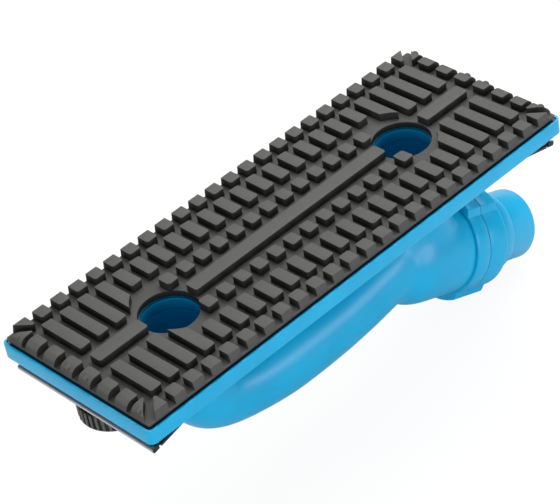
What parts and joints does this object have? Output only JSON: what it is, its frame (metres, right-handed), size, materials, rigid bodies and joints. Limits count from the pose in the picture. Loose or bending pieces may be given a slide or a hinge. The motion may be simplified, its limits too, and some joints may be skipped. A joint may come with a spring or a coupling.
{
  "type": "hand sanding head",
  "caption": "Long cleated sanding sole on a moulded base, with a hollow bail handle that carries dust to a swivelling hose outlet and a screw clamp for the paper at each end",
  "frame": {"origin": "middle of the sole's working face, on the top of the centre rib", "axes": "+X along the sole towards the hose outlet, +Y across the sole, +Z out of the working face"},
  "size_m": [0.2482, 0.0878, 0.1008],
  "materials": {
    "black_rubber": "matte, dusty on the cleat tops",
    "blue_moulding": "glossy injection moulding",
    "seal_rubber": "matte",
    "clamp_steel": "pressed sheet, satin",
    "zinc_steel": "zinc plated",
    "black_plastic": "satin",
    "brass": "turned"
  },
  "bodies": {
    "head": {"sole_pad": "black_rubber", "base_plate": "blue_moulding", "handle_duct": "blue_moulding", "front_port_gasket": "seal_rubber", "rear_port_gasket": "seal_rubber", "front_foot_screw_left": "zinc_steel", "front_foot_screw_right": "zinc_steel", "rear_foot_screw_left": "zinc_steel", "rear_foot_screw_right": "zinc_steel", "collar_inner_ring": "blue_moulding", "collar_outer_ring": "blue_moulding", "swivel_seal": "seal_rubber", "front_clamp_stud": "zinc_steel", "rear_clamp_stud": "zinc_steel"},
    "swivel": {"hose_connector": "blue_moulding"},
    "front_plate_body": {"front_clamp_plate": "clamp_steel"},
    "front_washer_body": {"front_clamp_washer": "zinc_steel"},
    "front_knob_body": {"front_clamp_knob": "black_plastic", "front_knob_insert": "brass"},
    "rear_plate_body": {"rear_clamp_plate": "clamp_steel"},
    "rear_washer_body": {"rear_clamp_washer": "zinc_steel"},
    "rear_knob_body": {"rear_clamp_knob": "black_plastic", "rear_knob_insert": "brass"}
  },
  "joints": [
    {"name": "swivel_spin", "type": "hinge", "parent": "head", "child": "swivel", "pos_m": [0.0798, 0, -0.0691], "axis": [0.9342, 0, -0.3567], "continuous": true},
    {"name": "front_clamp_tilt", "type": "hinge", "parent": "head", "child": "front_plate_body", "pos_m": [-0.0895, 0, -0.0127], "axis": [0, 1, 0], "range_deg": [0, 10.2]},
    {"name": "front_washer_travel", "type": "slide", "parent": "head", "child": "front_washer_body", "axis": [0, 0, 1], "range_m": [0, 0.0034]},
    {"name": "front_knob_turn", "type": "hinge", "parent": "front_washer_body", "child": "front_knob_body", "pos_m": [-0.1016, 0, -0.0246], "axis": [0, 0, 1], "range_deg": [0, 1224]},
    {"name": "rear_clamp_tilt", "type": "hinge", "parent": "head", "child": "rear_plate_body", "pos_m": [0.0895, 0, -0.0127], "axis": [0, -1, 0], "range_deg": [0, 10.2]},
    {"name": "rear_washer_travel", "type": "slide", "parent": "head", "child": "rear_washer_body", "axis": [0, 0, 1], "range_m": [0, 0.0034]},
    {"name": "rear_knob_turn", "type": "hinge", "parent": "rear_washer_body", "child": "rear_knob_body", "pos_m": [0.1016, 0, -0.0246], "axis": [0, 0, 1], "range_deg": [0, 1224]}
  ],
  "couplings": [
    {"joint": "front_washer_travel", "follows": "front_knob_turn", "m_per_rad": 0.00015915},
    {"joint": "front_clamp_tilt", "follows": "front_knob_turn", "ratio": 0.0083333},
    {"joint": "rear_washer_travel", "follows": "rear_knob_turn", "m_per_rad": 0.00015915},
    {"joint": "rear_clamp_tilt", "follows": "rear_knob_turn", "ratio": 0.0083333}
  ]
}
